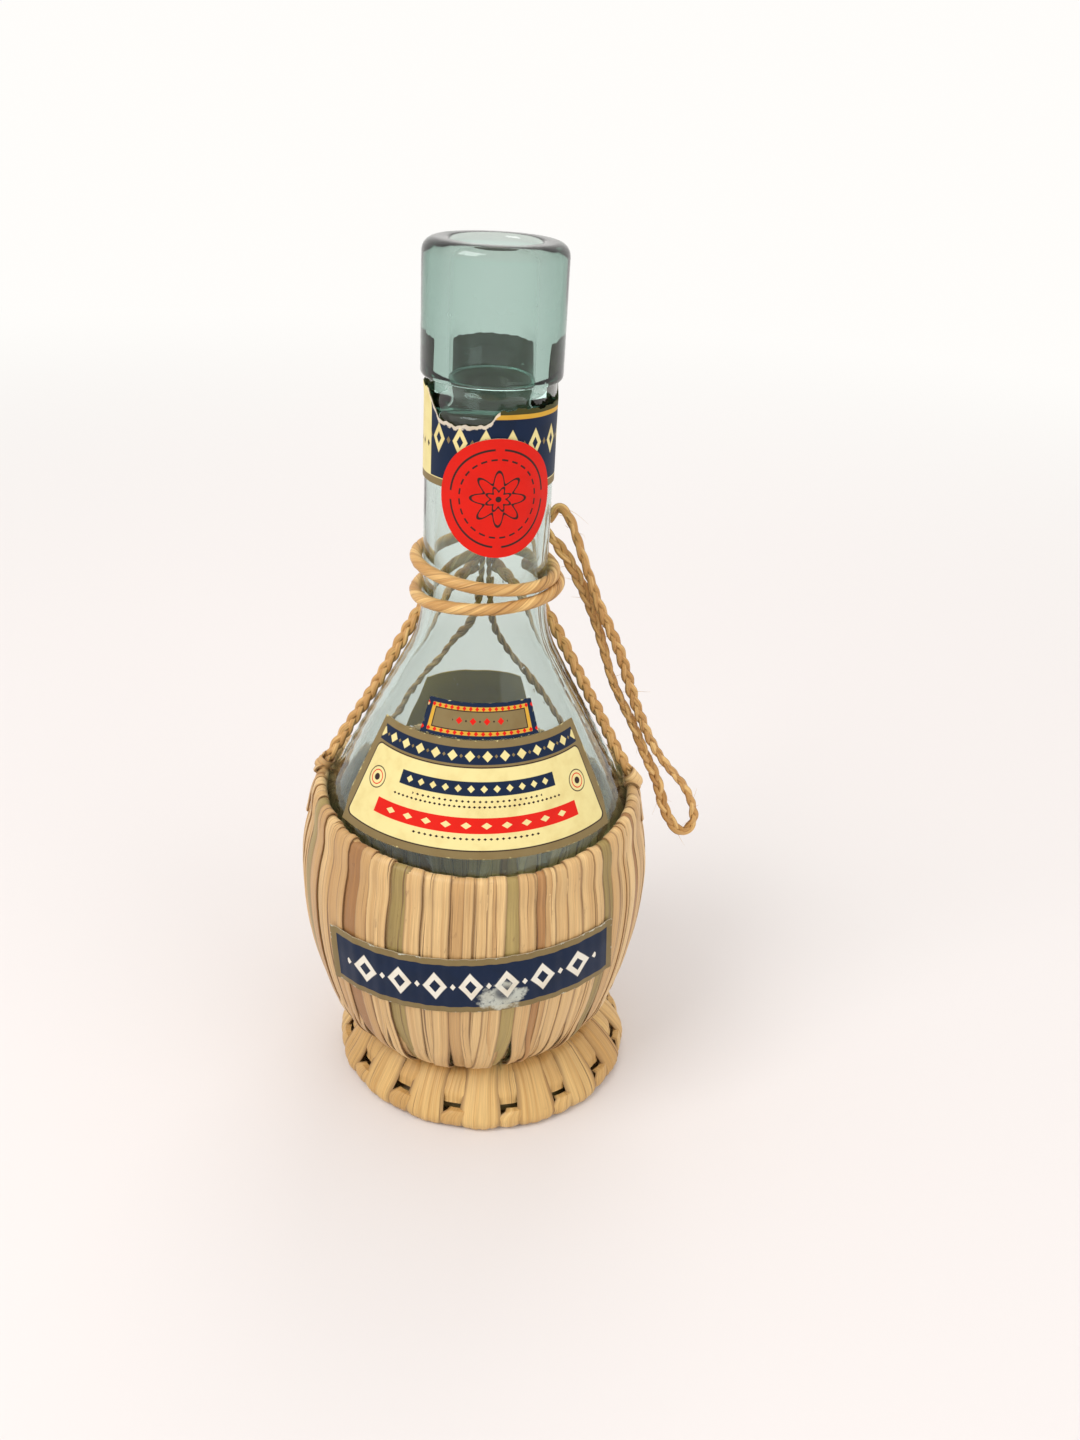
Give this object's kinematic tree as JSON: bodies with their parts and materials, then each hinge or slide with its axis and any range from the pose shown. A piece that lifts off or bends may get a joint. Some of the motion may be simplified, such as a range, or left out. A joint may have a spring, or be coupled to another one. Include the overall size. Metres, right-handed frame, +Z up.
{
  "type": "straw-covered wine flask",
  "caption": "Empty round-bellied glass wine flask in a straw basket with a plaited foot ring, paper labels, neck cord, four straps and a hanging loop.",
  "frame": {"origin": "on the table, under the middle of the basket's belly, which is the flask's axis", "axes": "+Z up along the flask's axis; the labels face -Y; the hanging loop lies on the +X side"},
  "size_m": [0.1033, 0.0868, 0.205],
  "materials": {
    "glass": "clear pale green blown glass",
    "straw_pale": "dry pale straw",
    "straw_red": "dry reddish straw",
    "straw_olive": "dry greenish straw",
    "straw_foot": "dry golden plaited straw",
    "straw_cord": "twisted raffia cord",
    "paper_navy": "aged navy printed paper with gold lines",
    "paper_red": "bright red coated paper",
    "paper_cream": "aged cream paper with gold edge",
    "paper_gold": "dull gold printed paper",
    "paper_plain": "aged brownish paper with plain printed lines"
  },
  "bodies": {
    "flask": {"back_label": "paper_plain", "basket_base": "straw_pale", "basket_label": "paper_navy", "basket_strip_01": "straw_pale", "basket_strip_02": "straw_olive", "basket_strip_03": "straw_red", "basket_strip_04": "straw_pale", "basket_strip_05": "straw_pale", "basket_strip_06": "straw_olive", "basket_strip_07": "straw_pale", "basket_strip_08": "straw_red", "basket_strip_09": "straw_pale", "basket_strip_10": "straw_pale", "basket_strip_11": "straw_pale", "basket_strip_12": "straw_olive", "basket_strip_13": "straw_pale", "basket_strip_14": "straw_red", "basket_strip_15": "straw_pale", "basket_strip_16": "straw_pale", "basket_strip_17": "straw_olive", "basket_strip_18": "straw_pale", "basket_strip_19": "straw_red", "basket_strip_20": "straw_pale", "basket_strip_21": "straw_pale", "basket_strip_22": "straw_pale", "basket_strip_23": "straw_red", "basket_strip_24": "straw_pale", "basket_strip_25": "straw_pale", "basket_strip_26": "straw_pale", "basket_strip_27": "straw_olive", "basket_strip_28": "straw_pale", "basket_strip_29": "straw_pale", "basket_strip_30": "straw_pale", "basket_strip_31": "straw_red", "basket_strip_32": "straw_pale", "basket_strip_33": "straw_olive", "basket_strip_34": "straw_pale", "basket_strip_35": "straw_pale", "basket_strip_36": "straw_red", "basket_strip_37": "straw_pale", "basket_strip_38": "straw_olive", "basket_strip_39": "straw_pale", "basket_strip_40": "straw_pale", "date_label": "paper_gold", "foot_ring_core": "straw_foot", "foot_ring_ends": "straw_foot", "foot_ring_straws": "straw_foot", "front_label": "paper_cream", "glass_flask": "glass", "hang_knot": "straw_cord", "left_back_strap": "straw_cord", "left_rim_tie": "straw_cord", "left_strap": "straw_cord", "neck_label": "paper_navy", "neck_wrap": "straw_cord", "right_back_strap": "straw_cord", "right_rim_tie": "straw_cord", "right_strap": "straw_cord", "round_seal": "paper_red"},
    "loop": {"hanging_loop": "straw_cord"}
  },
  "joints": [
    {"name": "loop_swing", "type": "hinge", "parent": "flask", "child": "loop", "pos_m": [0.01313, 0.01476, 0.14006], "axis": [0.9385, -0.3402, -0.0589], "range_deg": [0, 100]}
  ]
}
